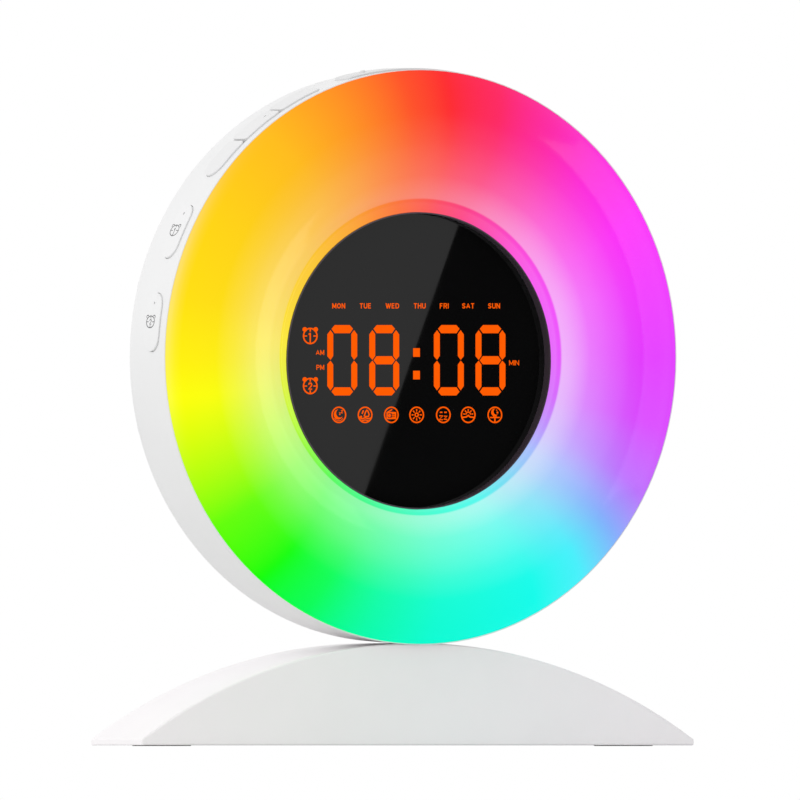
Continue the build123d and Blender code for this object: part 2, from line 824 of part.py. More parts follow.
def main_board():
    """Board that carries the controller, the radio and the power inlet."""
    height = main_board_top - main_board_bottom
    middle = (main_board_top + main_board_bottom) / 2
    outline = Circle(main_board_radius) & Pos(0, middle) * Rectangle(2 * main_board_half_width, height)
    outline -= Pos(0, speaker_y) * Circle(speaker_radius + speaker_seat_wall)
    board = prism(outline, main_board_front, main_board_back)
    hole = disc(small_screw_radius + screw_play, 0, lamp_depth)
    return board - [Pos(x, y) * hole for x, y in board_posts]


def board_components():
    """The larger components on the back of the main board."""
    blocks = [
        Pos(x, y) * prism(Rectangle(width, height), main_board_back, main_board_back + depth)
        for width, height, depth, x, y in component_blocks
    ]
    cans = [
        Pos(x, y) * disc(radius, main_board_back, main_board_back + depth)
        for radius, depth, x, y in component_cans
    ]
    return Part() + blocks + cans


def board_screws():
    """The screws that hold the main board on the back cover's posts."""
    seats = [Pos(x, y, -main_board_front) for x, y in board_posts]
    return Part() + [seat * small_screw() for seat in seats]


def cover_screws():
    """The screws of the back cover, with their heads sunk in it."""
    circle = around(cover_screw_count, cover_screw_circle)
    places = [(place.position.X, place.position.Y) for place in circle]
    return screws_from_behind(places, cover_land_depth + small_head_height, small_screw_length)


def speaker_gasket():
    """Foam ring between the speaker and the back cover."""
    foam = ring(
        speaker_radius, speaker_radius - speaker_seat_wall, speaker_flange_depth, speaker_seat_depth
    )
    return Pos(0, speaker_y) * foam


def speaker_basket():
    """Pressed frame of the speaker, a flange and a cone with a flat back."""
    flange_inner = speaker_radius - speaker_seat_wall
    back_depth = speaker_seat_depth - speaker_depth + magnet_height
    rim_front = speaker_flange_depth - basket_rim
    shell = turned(section_of(
        (0, back_depth),
        (magnet_radius + basket_wall, back_depth),
        (flange_inner + basket_wall, rim_front),
        (flange_inner + basket_wall, speaker_flange_depth - basket_wall),
        (speaker_radius, speaker_flange_depth - basket_wall),
        (speaker_radius, speaker_flange_depth),
        (flange_inner, speaker_flange_depth),
        (flange_inner, rim_front),
        (magnet_radius, back_depth + basket_wall),
        (0, back_depth + basket_wall),
    ))
    return Pos(0, speaker_y) * shell


def speaker_magnet():
    """Round magnet on the back of the basket."""
    back_depth = speaker_seat_depth - speaker_depth + magnet_height
    return Pos(0, speaker_y) * disc(magnet_radius, back_depth - magnet_height, back_depth)


def speaker_cone():
    """Paper cone with its surround and dust cap."""
    rim = speaker_radius - speaker_seat_wall - seat_gap
    floor_depth = speaker_seat_depth - speaker_depth + magnet_height + basket_wall + seat_gap
    cone = turned(section_of(
        (0, floor_depth + dust_cap_rise),
        (dust_cap_radius, floor_depth),
        (rim - cone_wall, speaker_flange_depth - cone_wall),
        (rim, speaker_flange_depth - cone_wall),
        (rim, speaker_flange_depth),
        (rim - 2 * cone_wall, speaker_flange_depth),
        (dust_cap_radius, floor_depth + 2 * cone_wall),
        (0, floor_depth + 2 * cone_wall + dust_cap_rise),
    ))
    return Pos(0, speaker_y) * cone


def dc_jack():
    """Power inlet on the main board, its nose in the back cover; the pin stands in the bore."""
    nose_depth = inlet_floor_depth
    body_depth = inlet_floor_depth - inlet_floor - jack_body_gap
    jack = prism(Rectangle(jack_body_size, jack_body_size), main_board_back, body_depth)
    jack += disc(jack_nose_radius, main_board_back, nose_depth)
    jack -= disc(jack_bore_radius, nose_depth - jack_bore_depth, nose_depth + 1)
    pin = disc(jack_pin_radius, main_board_back, nose_depth - jack_pin_recess)
    return Pos(inlet_x, inlet_y) * (jack + pin)


def coin_cell():
    """Coin cell that keeps the time while the mains is off."""
    top = well_floor_depth + contact_thickness
    cell = chamfer(disc(cell_radius, top, top + cell_thickness).edges(), contact_thickness)
    return Pos(well_x, well_y) * cell


def battery_contacts():
    """Spring strip under the cell and upright strip at its side."""
    strip = Rectangle(contact_width, contact_length)
    under = prism(strip, well_floor_depth, well_floor_depth + contact_thickness)
    side_y = cell_radius + seat_gap + contact_thickness / 2
    side = Pos(0, side_y) * prism(
        Rectangle(contact_width, contact_thickness), well_floor_depth, well_floor_depth + cell_thickness
    )
    return Pos(well_x, well_y) * (Part() + [under, side])


def aerial_grommet():
    """Rubber grommet where the aerial wire leaves the back cover."""
    floor_depth = aerial_floor_depth()
    inner_depth = floor_depth - cover_wall
    flange = disc(grommet_flange_radius, floor_depth, floor_depth + grommet_flange)
    neck = disc(grommet_neck_radius, inner_depth - grommet_flange, floor_depth)
    barb = disc(grommet_flange_radius - 1, inner_depth - grommet_flange, inner_depth)
    bore = disc(grommet_bore, 0, lamp_depth)
    return Pos(0, aerial_y) * (flange + neck + barb - bore)


# ---- Base --------------------------------------------------------------------------------------

def arch(inset=0.0):
    """Outline under the arch, seen from the front, or under an arch inset from it."""
    centre_z = base_height - arch_radius
    return Pos(0, centre_z) * Circle(arch_radius - inset)


def upright(outline, front_y, back_y):
    """An outline seen from the front, X and Z, between two places along Y."""
    return extrude(Plane.XZ.offset(-back_y) * outline, amount=back_y - front_y)


def slab(width, low, high):
    """Rectangle on the middle, between two heights."""
    return Pos(0, (low + high) / 2) * Rectangle(width, high - low)


def base_shell():
    """Arched white shell, open below, with the saddle and the post that carry the lamp."""
    outline = arch() & slab(base_width, foot_stand, base_height)
    outline = fillet(outline.vertices(), nose_radius)
    shell = upright(outline, base_front_y, base_front_y + base_depth)
    ends = shell.faces().sort_by(Axis.Y)
    shell = fillet(ends[0].edges() + ends[-1].edges(), base_edge)
    hollow = arch(base_wall) & slab(2 * hollow_half_length, plate_top - 1, base_height)
    half = plate_depth / 2 - plate_ledge
    shell -= upright(hollow, base_middle_y - half, base_middle_y + half)
    shell -= plate_form(seat_gap)
    shell += base_post() & upright(arch(base_wall / 2), base_front_y, base_front_y + base_depth)
    shell += base_plate_bosses()
    shell -= lamp_place * housing_form(seat_gap)
    for depth in stem_screw_depths:
        shell -= stem_hole(depth, stem_screw_radius + screw_play, base_height, plate_top)
        shell -= stem_hole(depth, stem_well_radius, stem_seat_z(), plate_top - 1)
    shell -= [place * extrude(Circle(small_screw_radius + screw_play), amount=small_screw_length)
              for place in plate_screw_places()]
    return shell


def stem_seat_z():
    """Height of the face that the stem screws' heads bear on."""
    return lamp_z - lamp_radius - (stem_screw_length - stem_screw_engaged)


def base_post():
    """Block under the saddle, open below over the screw heads."""
    middle = rim_y + sum(stem_screw_depths) / len(stem_screw_depths)
    outline = slab(2 * stem_half_width, plate_top, base_height)
    front = max(middle - post_depth / 2, base_front_y + base_wall)
    return upright(outline, front, middle + post_depth / 2)


def plate_screw_places():
    """Places of the bottom plate's screws, at its top face."""
    return [
        Pos(x, base_middle_y + y, plate_top)
        for x in (-plate_screw_x, plate_screw_x)
        for y in (-plate_screw_y, plate_screw_y)
    ]


def base_plate_bosses():
    """Bosses that hang from the arch down to the bottom plate."""
    bosses = Part() + [
        place * extrude(Circle(plate_boss_radius), amount=base_height) for place in plate_screw_places()
    ]
    return bosses & upright(arch(base_wall / 2), base_front_y, base_front_y + base_depth)


def plate_form(grow=0.0):
    """The bottom plate without its holes, grown sideways for its seat."""
    outline = RectangleRounded(plate_width + 2 * grow, plate_depth + 2 * grow, plate_corner)
    return Pos(0, base_middle_y, foot_stand) * extrude(outline, amount=plate_thickness)


def foot_places():
    """Places of the feet, on the table."""
    return [Pos(x, base_middle_y + y, 0) for x in (-foot_x, foot_x) for y in (-foot_y, foot_y)]


def base_bottom_plate():
    """Plate that closes the base from below, with pockets for the feet."""
    plate = plate_form()
    pocket = extrude(Circle(foot_radius + seat_gap), amount=foot_stand + foot_sink)
    plate -= [place * pocket for place in foot_places()]
    for place in plate_screw_places():
        plate -= place * Pos(0, 0, -plate_thickness) * extrude(
            Circle(small_screw_radius + screw_play), amount=plate_thickness
        )
        plate -= place * Pos(0, 0, -plate_thickness) * extrude(
            Circle(small_head_radius + screw_play), amount=small_head_height
        )
    return plate


def base_feet():
    """Round rubber feet."""
    foot = extrude(Circle(foot_radius), amount=foot_stand + foot_sink)
    foot = chamfer(foot.edges().sort_by(Axis.Z)[0], foot_stand / 2)
    return Part() + [place * foot for place in foot_places()]


def base_weights():
    """Steel bars on the bottom plate that keep the narrow base from tipping."""
    bar = extrude(RectangleRounded(weight_length, weight_depth, weight_corner), amount=weight_height)
    middle = weight_inner_x + weight_length / 2
    return Part() + [Pos(side * middle, base_middle_y, plate_top) * bar for side in (-1, 1)]


def base_plate_screws():
    """The screws of the bottom plate, heads down and sunk."""
    seat = Pos(0, 0, small_head_height - plate_thickness) * Rot(180, 0, 0)
    return Part() + [place * seat * small_screw() for place in plate_screw_places()]


def stem_screws():
    """The screws that go up through the saddle into the lamp."""
    fastener = screw(stem_screw_radius, stem_screw_length, stem_head_radius, stem_head_height)
    return Part() + [
        Pos(0, rim_y + depth, stem_seat_z()) * Rot(180, 0, 0) * fastener for depth in stem_screw_depths
    ]


# ---- The whole clock ---------------------------------------------------------------------------

lamp_parts = {
    "lamp_housing": lamp_housing(),
    "back_cover": back_cover(),
    "cover_screws": cover_screws(),
    "diffuser_ring": diffuser_ring(),
    "reflector_tray": reflector_tray(),
    "tray_screws": tray_screws(),
    "led_board": led_board(),
    "colour_leds": colour_leds(),
    "display_bezel": display_bezel(),
    "display_window": display_window(),
    "digit_light_box": digit_light_box(),
    "display_board": display_board(),
    "display_screws": display_screws(),
    "button_strip": button_strip(),
    "tact_switches": tact_switches(),
    "main_board": main_board(),
    "board_components": board_components(),
    "board_screws": board_screws(),
    "speaker_gasket": speaker_gasket(),
    "speaker_basket": speaker_basket(),
    "speaker_magnet": speaker_magnet(),
    "speaker_cone": speaker_cone(),
    "dc_jack": dc_jack(),
    "coin_cell": coin_cell(),
    "battery_contacts": battery_contacts(),
    "battery_door": battery_door(),
    "aerial_grommet": aerial_grommet(),
    "snooze_button": snooze_button(),
}
for name, facts in buttons.items():
    if name not in lamp_parts:
        lamp_parts[name] = rim_button(*facts)

base_parts = {
    "base_shell": base_shell(),
    "base_bottom_plate": base_bottom_plate(),
    "base_feet": base_feet(),
    "base_weights": base_weights(),
    "base_plate_screws": base_plate_screws(),
    "stem_screws": stem_screws(),
}

os.makedirs("parts", exist_ok=True)
for name, part in lamp_parts.items():
    export_step(lamp_place * part, f"parts/{name}.step")
for name, part in base_parts.items():
    export_step(part, f"parts/{name}.step")
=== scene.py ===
from math import atan2, cos, pi, radians, sin, sqrt

import bmesh
import bpy
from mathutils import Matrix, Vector


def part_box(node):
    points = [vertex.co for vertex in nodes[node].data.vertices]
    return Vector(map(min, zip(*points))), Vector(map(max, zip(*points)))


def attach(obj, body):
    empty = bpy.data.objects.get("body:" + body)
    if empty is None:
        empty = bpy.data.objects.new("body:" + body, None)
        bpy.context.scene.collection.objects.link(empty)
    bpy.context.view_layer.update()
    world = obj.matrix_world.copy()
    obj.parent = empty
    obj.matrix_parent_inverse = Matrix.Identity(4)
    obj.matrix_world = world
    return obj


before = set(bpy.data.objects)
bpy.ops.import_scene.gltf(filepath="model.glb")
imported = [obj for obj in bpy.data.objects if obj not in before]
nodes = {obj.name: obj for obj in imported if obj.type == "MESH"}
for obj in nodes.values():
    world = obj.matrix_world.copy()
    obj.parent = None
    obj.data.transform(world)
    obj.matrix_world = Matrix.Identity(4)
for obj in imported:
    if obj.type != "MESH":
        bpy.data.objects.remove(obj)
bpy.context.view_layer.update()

# The lamp's own space: x to the right and y up from its centre, as seen from the front, depth
# behind the plane of its rim. All in millimetres here, and turned into metres by lamp_point().
MM = 0.001
RIM_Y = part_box("lamp_housing")[0].y
ring_low, ring_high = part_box("diffuser_ring")
LAMP_Z = (ring_low.z + ring_high.z) / 2
WINDOW_DEPTH = (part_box("display_window")[0].y - RIM_Y) / MM
button_low, button_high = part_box("alarm_2_button")
BUTTON_DEPTH = ((button_low.y + button_high.y) / 2 - RIM_Y) / MM
cap_points = [v.co for v in nodes["light_button"].data.vertices]
BUTTON_TOP = max(sqrt(co.x ** 2 + (co.z - LAMP_Z) ** 2) for co in cap_points) / MM


def lamp_point(x, y, depth):
    return Vector((x * MM, RIM_Y + depth * MM, LAMP_Z + y * MM))


# ---- Camera --------------------------------------------------------------------------------------

VIEW_AZIMUTH = -27.2
MM_PER_PIXEL = 0.2967
FRAME_PIXELS = 800
TABLE_PIXEL = 746.0     # the photograph's row at which the feet stand
AXIS_OFFSET = 0.12      # millimetres by which the camera stands to the right of the lamp's axis
CAMERA_AWAY = 1.5

azimuth = radians(VIEW_AZIMUTH)
to_right = Vector((cos(azimuth), sin(azimuth), 0))
to_camera = Vector((sin(azimuth), -cos(azimuth), 0))
middle_z = (TABLE_PIXEL - FRAME_PIXELS / 2) * MM_PER_PIXEL * MM
camera_data = bpy.data.cameras.new("camera")
camera_data.type = "ORTHO"
camera_data.ortho_scale = FRAME_PIXELS * MM_PER_PIXEL * MM
camera_data.clip_start = 0.01
camera_data.clip_end = 20
camera = bpy.data.objects.new("camera", camera_data)
bpy.context.scene.collection.objects.link(camera)
camera.location = to_right * AXIS_OFFSET * MM + to_camera * CAMERA_AWAY + Vector((0, 0, middle_z))
camera.rotation_euler = (pi / 2, 0, azimuth)
bpy.context.scene.camera = camera
bpy.context.scene.view_settings.view_transform = "Standard"


# ---- Shader nodes --------------------------------------------------------------------------------

NOISE_LOW = 0.3     # most of a noise lies between these two
NOISE_HIGH = 0.7


class Tree:
    """Short calls to build the nodes of a material or of the world."""

    def __init__(self, owner, output):
        owner.use_nodes = True
        self.owner = owner
        self.tree = owner.node_tree
        self.tree.nodes.clear()
        self.surface = self.tree.nodes.new(output).inputs["Surface"]

    def node(self, kind, **settings):
        made = self.tree.nodes.new(kind)
        for key, value in settings.items():
            setattr(made, key, value)
        return made

    def put(self, value, socket):
        """Sets a number or a colour on a socket, or links another node's output to it."""
        if isinstance(value, (int, float)):
            socket.default_value = value
        elif isinstance(value, tuple):
            socket.default_value = (*value, 1)
        else:
            self.tree.links.new(value, socket)

    def math(self, operation, *values):
        made = self.node("ShaderNodeMath", operation=operation)
        for socket, value in zip(made.inputs, values):
            self.put(value, socket)
        return made.outputs[0]

    def place(self):
        return self.node("ShaderNodeTexCoord").outputs["Object"]

    def parts(self, vector):
        made = self.node("ShaderNodeSeparateXYZ")
        self.put(vector, made.inputs[0])
        return made.outputs

    def noise(self, scale, detail):
        made = self.node("ShaderNodeTexNoise")
        made.inputs["Scale"].default_value = scale
        made.inputs["Detail"].default_value = detail
        made.inputs["Roughness"].default_value = 0.55
        self.put(self.place(), made.inputs["Vector"])
        return made.outputs["Fac"]

    def uneven(self, scale, detail, low, high):
        """Noise that lies mostly between two values."""
        return self.span(self.noise(scale, detail), NOISE_LOW, NOISE_HIGH, low, high)

    def ramp(self, factor, stops):
        made = self.node("ShaderNodeValToRGB")
        ramp = made.color_ramp
        while len(ramp.elements) < len(stops):
            ramp.elements.new(0.5)
        for element, (at, colour) in zip(ramp.elements, stops):
            element.position = at
            element.color = (*colour, 1)
        self.put(factor, made.inputs["Fac"])
        return made.outputs["Color"]

    def mottled(self, scale, detail, colour, spread):
        """Noise between a colour a little darker and the same a little lighter."""
        darker = [part * (1 - spread) for part in colour]
        lighter = [min(1, part * (1 + spread)) for part in colour]
        return self.ramp(self.noise(scale, detail), [(NOISE_LOW, darker), (NOISE_HIGH, lighter)])

    def span(self, value, low, high, to_low, to_high):
        made = self.node("ShaderNodeMapRange")
        for socket, given in zip(made.inputs, (value, low, high, to_low, to_high)):
            self.put(given, socket)
        return made.outputs[0]

    def bump(self, height, distance):
        made = self.node("ShaderNodeBump")
        made.inputs["Distance"].default_value = distance
        self.put(height, made.inputs["Height"])
        return made.outputs["Normal"]

    def shader(self, kind, **values):
        """A shader on the surface, with its sockets set or linked by name."""
        made = self.node(kind)
        for key, value in values.items():
            self.put(value, made.inputs[key.replace("_", " ")])
        self.put(made.outputs[0], self.surface)
        return made.outputs[0]


def material_tree(name):
    return Tree(bpy.data.materials.new(name), "ShaderNodeOutputMaterial")


def srgb(red, green, blue):
    """Linear colour from 0 to 255 screen values."""
    def one(value):
        value = value / 255
        return value / 12.92 if value <= 0.04045 else ((value + 0.055) / 1.055) ** 2.4
    return (one(red), one(green), one(blue))


# ---- Materials -----------------------------------------------------------------------------------

# Scales of the noises, in waves per metre
MOTTLE = 45
GLOSS_PATCHES = 160
METAL_MOTTLE = 220
TURNING_MARKS = 1400
BOARD_TRACKS = 260


def moulded(name, colour, roughness, grain=900, depth=6e-6, spread=0.012):
    """Plastic, rubber, foam or paper with a fine grain, faint mottling and uneven gloss."""
    t = material_tree(name)
    t.shader(
        "ShaderNodeBsdfPrincipled",
        Base_Color=t.mottled(MOTTLE, 4, colour, spread),
        Roughness=t.uneven(GLOSS_PATCHES, 3, roughness - 0.04, roughness + 0.04),
        Normal=t.bump(t.noise(grain, 2), depth),
    )
    return t.owner


def metal(name, colour, roughness):
    """Plated or bare metal with fine turning marks."""
    t = material_tree(name)
    t.shader(
        "ShaderNodeBsdfPrincipled",
        Metallic=1.0,
        Base_Color=t.mottled(METAL_MOTTLE, 3, colour, 0.06),
        Roughness=t.uneven(TURNING_MARKS, 4, roughness - 0.08, roughness + 0.1),
        Normal=t.bump(t.noise(TURNING_MARKS, 3), 5e-6),
    )
    return t.owner


def circuit_board(name, mask, copper):
    """Solder mask with lighter tracks showing through."""
    t = material_tree(name)
    tracks = t.node("ShaderNodeTexVoronoi", distance="MANHATTAN")
    tracks.inputs["Scale"].default_value = BOARD_TRACKS
    t.put(t.place(), tracks.inputs["Vector"])
    banded = t.math("SINE", t.math("MULTIPLY", tracks.outputs["Distance"], 22))
    colour = t.ramp(t.span(banded, -1, 1, 0, 1), [(0.55, mask), (0.7, copper)])
    t.shader("ShaderNodeBsdfPrincipled", Roughness=0.35, Base_Color=colour)
    return t.owner


# The glow round the ring: angle in degrees anticlockwise from the right, seen from the front.
GLOW = [
    (0, (228, 40, 255)),
    (16, (242, 38, 255)),
    (31, (255, 35, 250)),
    (45, (255, 35, 220)),
    (58, (255, 35, 170)),
    (72, (255, 35, 100)),
    (85, (255, 40, 45)),
    (95, (255, 82, 38)),
    (110, (255, 144, 32)),
    (128, (255, 188, 25)),
    (150, (255, 210, 15)),
    (167, (255, 221, 10)),
    (181, (255, 240, 4)),
    (189, (252, 255, 0)),
    (201, (202, 255, 0)),
    (216, (100, 255, 0)),
    (231, (10, 255, 0)),
    (243, (0, 255, 90)),
    (256, (0, 255, 170)),
    (272, (0, 255, 214)),
    (297, (0, 255, 238)),
    (309, (68, 244, 255)),
    (320, (130, 178, 255)),
    (331, (190, 108, 255)),
    (345, (219, 60, 255)),
    (360, (228, 40, 255)),
]
GLOW_STRENGTH = 0.77
BODY_SHARE = 0.25       # of the light from outside that the ring throws back
SPREAD = 14             # degrees by which neighbouring colours run into each other
SPREAD_FROM = 49.0      # and the radii between which they do so less and less
SPREAD_TO = 74.0
RING_IOR = 1.12

# White that is mixed into the glow, each a list of radius in millimetres and share; the lower-left and rim
# lists are painted highlights
PALE_ALL = [
    (43.0, 0.09), (45.4, 0.10), (45.7, 0.10), (46.2, 0.06), (46.8, 0.06), (47.2, 0.32), (49.0, 0.28),
    (51.0, 0.22), (54.0, 0.13), (60.0, 0.072), (66.0, 0.03), (72.0, 0.008), (85.0, 0.002),
]
# Painted highlight: a broad reflection of white on the ring's inner slope at the lower left
PAINTED_HIGHLIGHT_LOWER_LEFT = [
    (43.0, 0.0), (47.0, 0.02), (50.0, 0.07), (55.0, 0.11), (60.0, 0.10), (66.0, 0.038), (72.0, 0.0),
    (85.0, 0.0),
]
# Painted highlight: a thin white line along the ring's outer rim on the upper left
PAINTED_RIM_HIGHLIGHT = [
    (43.0, 0.0), (81.5, 0.0), (82.8, 0.025), (83.2, 0.045), (83.6, 0.065), (84.0, 0.095), (84.3, 0.14),
    (85.0, 0.16),
]
PALEST = 325                            # the direction in which the white all round is strongest
# The two painted highlights, each with its direction and how narrow
PATCHES = ((PAINTED_HIGHLIGHT_LOWER_LEFT, 195, 2), (PAINTED_RIM_HIGHLIGHT, 164, 28))     # white to one side, and how narrow
DEEPER = ((115, 0.38), (250, 0.2))      # two directions in which the colours pale less, by a share
DEEPER_NARROWNESS = 4


def glowing_ring():
    """Milky plastic lit from behind; its colour goes round with the angle and pales inwards, with painted
    highlights mixed into its glow.
    """
    t = material_tree("ring_glow_and_painted_highlights")
    place = t.parts(t.place())
    x = place["X"]
    z = t.math("SUBTRACT", place["Z"], LAMP_Z)
    angle = t.math("ARCTAN2", z, x)
    radius = t.math("SQRT", t.math("ADD", t.math("MULTIPLY", x, x), t.math("MULTIPLY", z, z)))
    stops = [(at / 360, srgb(*colour)) for at, colour in GLOW]

    def hue(shift):
        turn = t.math("FRACT", t.math("ADD", t.math("DIVIDE", angle, 2 * pi), 1 + shift / 360))
        return t.ramp(turn, stops)

    def profile(shares):
        """The share at each radius."""
        first = shares[0][0]
        last = shares[-1][0]
        outward = t.span(radius, first * MM, last * MM, 0, 1)
        return t.ramp(outward, [((at - first) / (last - first), (share,) * 3) for at, share in shares])

    def towards(direction, low, high):
        """From low on the far side to high in a direction."""
        cosine = t.math("COSINE", t.math("SUBTRACT", angle, radians(direction)))
        return t.span(cosine, -1, 1, low, high)

    def lobe(direction, narrowness):
        return t.math("POWER", towards(direction, 0, 1), narrowness)

    def blend(factor, a, b, kind="MIX"):
        """Two colours mixed; the node's sockets 6 and 7 and its output 2 are those for colours."""
        made = t.node("ShaderNodeMix", data_type="RGBA", blend_type=kind)
        for place, value in ((0, factor), (6, a), (7, b)):
            t.put(value, made.inputs[place])
        return made.outputs[2]

    neighbours = blend(0.5, hue(SPREAD), hue(-SPREAD))
    pure = blend(t.span(radius, SPREAD_FROM * MM, SPREAD_TO * MM, 0.9, 0.0), hue(0), neighbours)
    white = t.math("MULTIPLY", profile(PALE_ALL), towards(PALEST, 0.5, 1.5))
    # Painted highlights added to the white: the lower left and the upper-left rim
    for shares, direction, narrowness in PATCHES:
        white = t.math("ADD", white, t.math("MULTIPLY", profile(shares), lobe(direction, narrowness)))
    for direction, less in DEEPER:
        kept = t.math("SUBTRACT", 1, t.math("MULTIPLY", lobe(direction, DEEPER_NARROWNESS), less))
        white = t.math("MULTIPLY", white, kept)
    colour = blend(t.math("MULTIPLY", white, t.uneven(60, 3, 0.96, 1.04)), pure, (1.0, 1.0, 1.0))
    t.shader(
        "ShaderNodeBsdfPrincipled",
        Roughness=0.12,
        IOR=RING_IOR,
        Base_Color=blend(1.0, colour, (BODY_SHARE,) * 3, "MULTIPLY"),
        Emission_Color=colour,
        Emission_Strength=GLOW_STRENGTH,
    )
    return t.owner


def tinted_window():
    """Smoked window, almost black, with a polished face."""
    t = material_tree("window_smoked")
    t.shader(
        "ShaderNodeBsdfPrincipled",
        IOR=1.375,
        Base_Color=t.mottled(30, 2, (0.0036, 0.0036, 0.0037), 0.1),
        Roughness=t.uneven(70, 2, 0.012, 0.02),
    )
    return t.owner


def lit_sign():
    """Orange light of the digits and signs, a trace uneven."""
    t = material_tree("display_orange")
    t.shader(
        "ShaderNodeBsdfPrincipled",
        Roughness=0.6,
        IOR=1.05,
        Base_Color=(0.02, 0.002, 0.0),
        Emission_Color=t.mottled(900, 2, srgb(255, 92, 2), 0.03),
        Emission_Strength=1.0,
    )
    return t.owner


def dress(material, *names):
    for name in names:
        nodes[name].data.materials.clear()
        nodes[name].data.materials.append(material)


printed_grey = moulded("printed_grey", (0.08, 0.08, 0.082), 0.45, spread=0.08)
display_orange = lit_sign()

# The housing and the base, of one white plastic; the base's copy is painted lighter, to lift the shade on
# it, and tinted less green to cancel the ring's green light on it
dress(moulded("white_shell", (0.82, 0.82, 0.822), 0.34), "lamp_housing", "back_cover", "battery_door")
dress(moulded("white_base_painted_lighter", (0.952, 0.925, 0.938), 0.34), "base_shell")
dress(moulded("plate_plastic", (0.80, 0.80, 0.805), 0.55, grain=600, depth=2e-5), "base_bottom_plate")
dress(moulded("foot_rubber", (0.72, 0.72, 0.725), 0.8, grain=800, depth=3e-5, spread=0.06), "base_feet")
dress(moulded("rubber", (0.06, 0.06, 0.062), 0.75, grain=800, depth=3e-5, spread=0.12), "aerial_grommet")

# The buttons
dress(moulded("white_button", (0.825, 0.825, 0.827), 0.32, grain=1200),
      "alarm_1_button", "alarm_2_button", "radio_button", "sleep_button")
# The group's buttons: the button white painted darker, as painted shade on their tops
dress(moulded("group_button_painted_shade", (0.79, 0.79, 0.793), 0.36, grain=1200),
      "dimmer_button", "light_button", "brighter_button", "volume_up_button", "sound_button",
      "volume_down_button")
# The snooze bar: darker than the other buttons
dress(moulded("grey_button", (0.745, 0.745, 0.748), 0.4, grain=1200), "snooze_button")

# The ring and the display
dress(glowing_ring(), "diffuser_ring")
dress(tinted_window(), "display_window")
dress(moulded("bezel_dark", (0.055, 0.040, 0.055), 0.15, spread=0.08), "display_bezel")
dress(moulded("inner_white", (0.88, 0.88, 0.88), 0.6), "reflector_tray", "digit_light_box")

# The electrics and the speaker
dress(moulded("black_part", (0.02, 0.02, 0.021), 0.5, spread=0.1),
      "tact_switches", "board_components", "dc_jack")
dress(moulded("led_package", (0.85, 0.84, 0.78), 0.4), "colour_leds")
dress(moulded("foam", (0.03, 0.03, 0.03), 0.9, grain=700, depth=1.5e-4, spread=0.2), "speaker_gasket")
dress(moulded("speaker_paper", (0.035, 0.034, 0.033), 0.85, grain=1500, depth=6e-5, spread=0.2),
      "speaker_cone")
dress(moulded("speaker_frame", (0.03, 0.03, 0.032), 0.35, spread=0.08), "speaker_basket")
dress(circuit_board("flexible_board", (0.42, 0.20, 0.03), (0.55, 0.30, 0.06)), "button_strip")
dress(circuit_board("rigid_board", (0.02, 0.12, 0.045), (0.05, 0.22, 0.08)),
      "led_board", "display_board", "main_board")

# The metal pieces
dress(metal("screw_metal", (0.62, 0.62, 0.61), 0.32),
      "cover_screws", "tray_screws", "display_screws", "board_screws", "base_plate_screws", "stem_screws")
dress(metal("cell_metal", (0.78, 0.78, 0.77), 0.25), "coin_cell")
dress(metal("contact_metal", (0.82, 0.68, 0.38), 0.3), "battery_contacts")
dress(metal("dark_iron", (0.22, 0.22, 0.23), 0.5), "speaker_magnet", "base_weights")


# ---- Flat signs ----------------------------------------------------------------------------------

